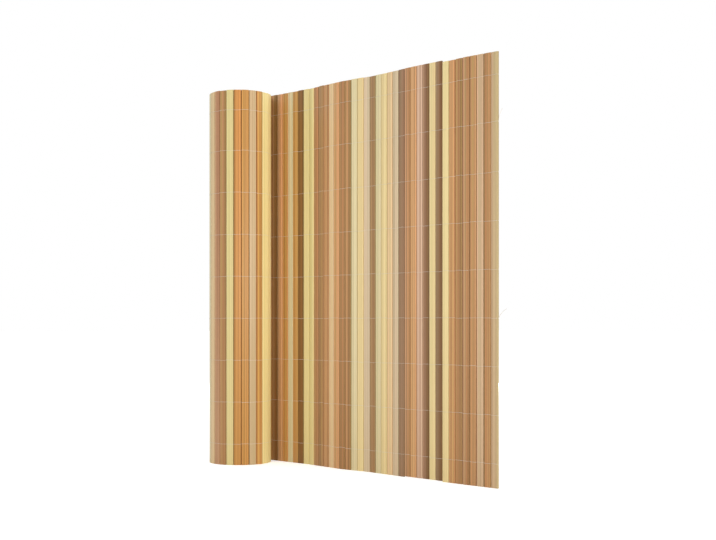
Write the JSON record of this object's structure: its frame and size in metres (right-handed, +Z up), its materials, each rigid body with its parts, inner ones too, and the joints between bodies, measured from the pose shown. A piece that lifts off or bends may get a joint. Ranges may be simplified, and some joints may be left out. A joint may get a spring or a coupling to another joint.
{
  "type": "slatted privacy screen mat",
  "caption": "Privacy screen mat of hollow bamboo-coloured PVC slats tied by rows of thread, standing on end, partly rolled up with the rest unrolled as a gently wavy sheet.",
  "frame": {"origin": "under the middle of the whole mat, on the surface that it stands on", "axes": "+X along the sheet from the roll to its free end, +Z up along the slats, the roll on the -Y side of the sheet"},
  "size_m": [0.8412, 0.1624, 0.9],
  "materials": {
    "pvc_cream": "satin PVC with lengthwise bamboo streaks, cream",
    "pvc_pale": "satin PVC with lengthwise bamboo streaks, pale",
    "pvc_beige": "satin PVC with lengthwise bamboo streaks, beige",
    "pvc_peach": "satin PVC with lengthwise bamboo streaks, peach",
    "pvc_pink_beige": "satin PVC with lengthwise bamboo streaks, pink beige",
    "pvc_light_orange": "satin PVC with lengthwise bamboo streaks, light orange",
    "pvc_orange_tan": "satin PVC with lengthwise bamboo streaks, orange tan",
    "pvc_tan": "satin PVC with lengthwise bamboo streaks, tan",
    "pvc_brown": "satin PVC with lengthwise bamboo streaks, brown",
    "pvc_taupe": "satin PVC with lengthwise bamboo streaks, taupe",
    "pvc_umber": "satin PVC with lengthwise bamboo streaks, umber",
    "nylon_thread": "thin pale nylon thread, slightly see-through"
  },
  "bodies": {
    "root": {"slat_01": "pvc_tan", "slat_02": "pvc_brown", "slat_03": "pvc_brown", "slat_04": "pvc_tan", "slat_05": "pvc_orange_tan", "slat_06": "pvc_pale", "slat_07": "pvc_orange_tan", "slat_08": "pvc_umber", "slat_09": "pvc_cream", "slat_10": "pvc_cream", "slat_11": "pvc_brown", "slat_12": "pvc_brown", "slat_13": "pvc_tan", "slat_14": "pvc_peach", "slat_15": "pvc_light_orange", "slat_16": "pvc_brown", "slat_17": "pvc_brown", "slat_18": "pvc_pale", "slat_19": "pvc_cream", "slat_20": "pvc_beige", "slat_21": "pvc_brown", "slat_22": "pvc_pale", "slat_23": "pvc_cream", "slat_24": "pvc_peach", "slat_25": "pvc_beige", "slat_26": "pvc_taupe", "slat_27": "pvc_tan", "slat_28": "pvc_light_orange", "slat_29": "pvc_pink_beige", "slat_30": "pvc_taupe", "slat_31": "pvc_cream", "slat_32": "pvc_taupe", "slat_33": "pvc_cream", "slat_34": "pvc_orange_tan", "slat_35": "pvc_tan", "slat_36": "pvc_tan", "slat_37": "pvc_orange_tan", "slat_38": "pvc_beige", "slat_39": "pvc_tan", "slat_40": "pvc_beige", "rolled_turns": "pvc_orange_tan", "tie_row_1": "nylon_thread", "tie_row_2": "nylon_thread", "tie_row_3": "nylon_thread", "tie_row_4": "nylon_thread", "tie_row_5": "nylon_thread", "tie_row_6": "nylon_thread", "tie_row_7": "nylon_thread", "tie_row_8": "nylon_thread", "tie_row_9": "nylon_thread"}
  },
  "joints": []
}
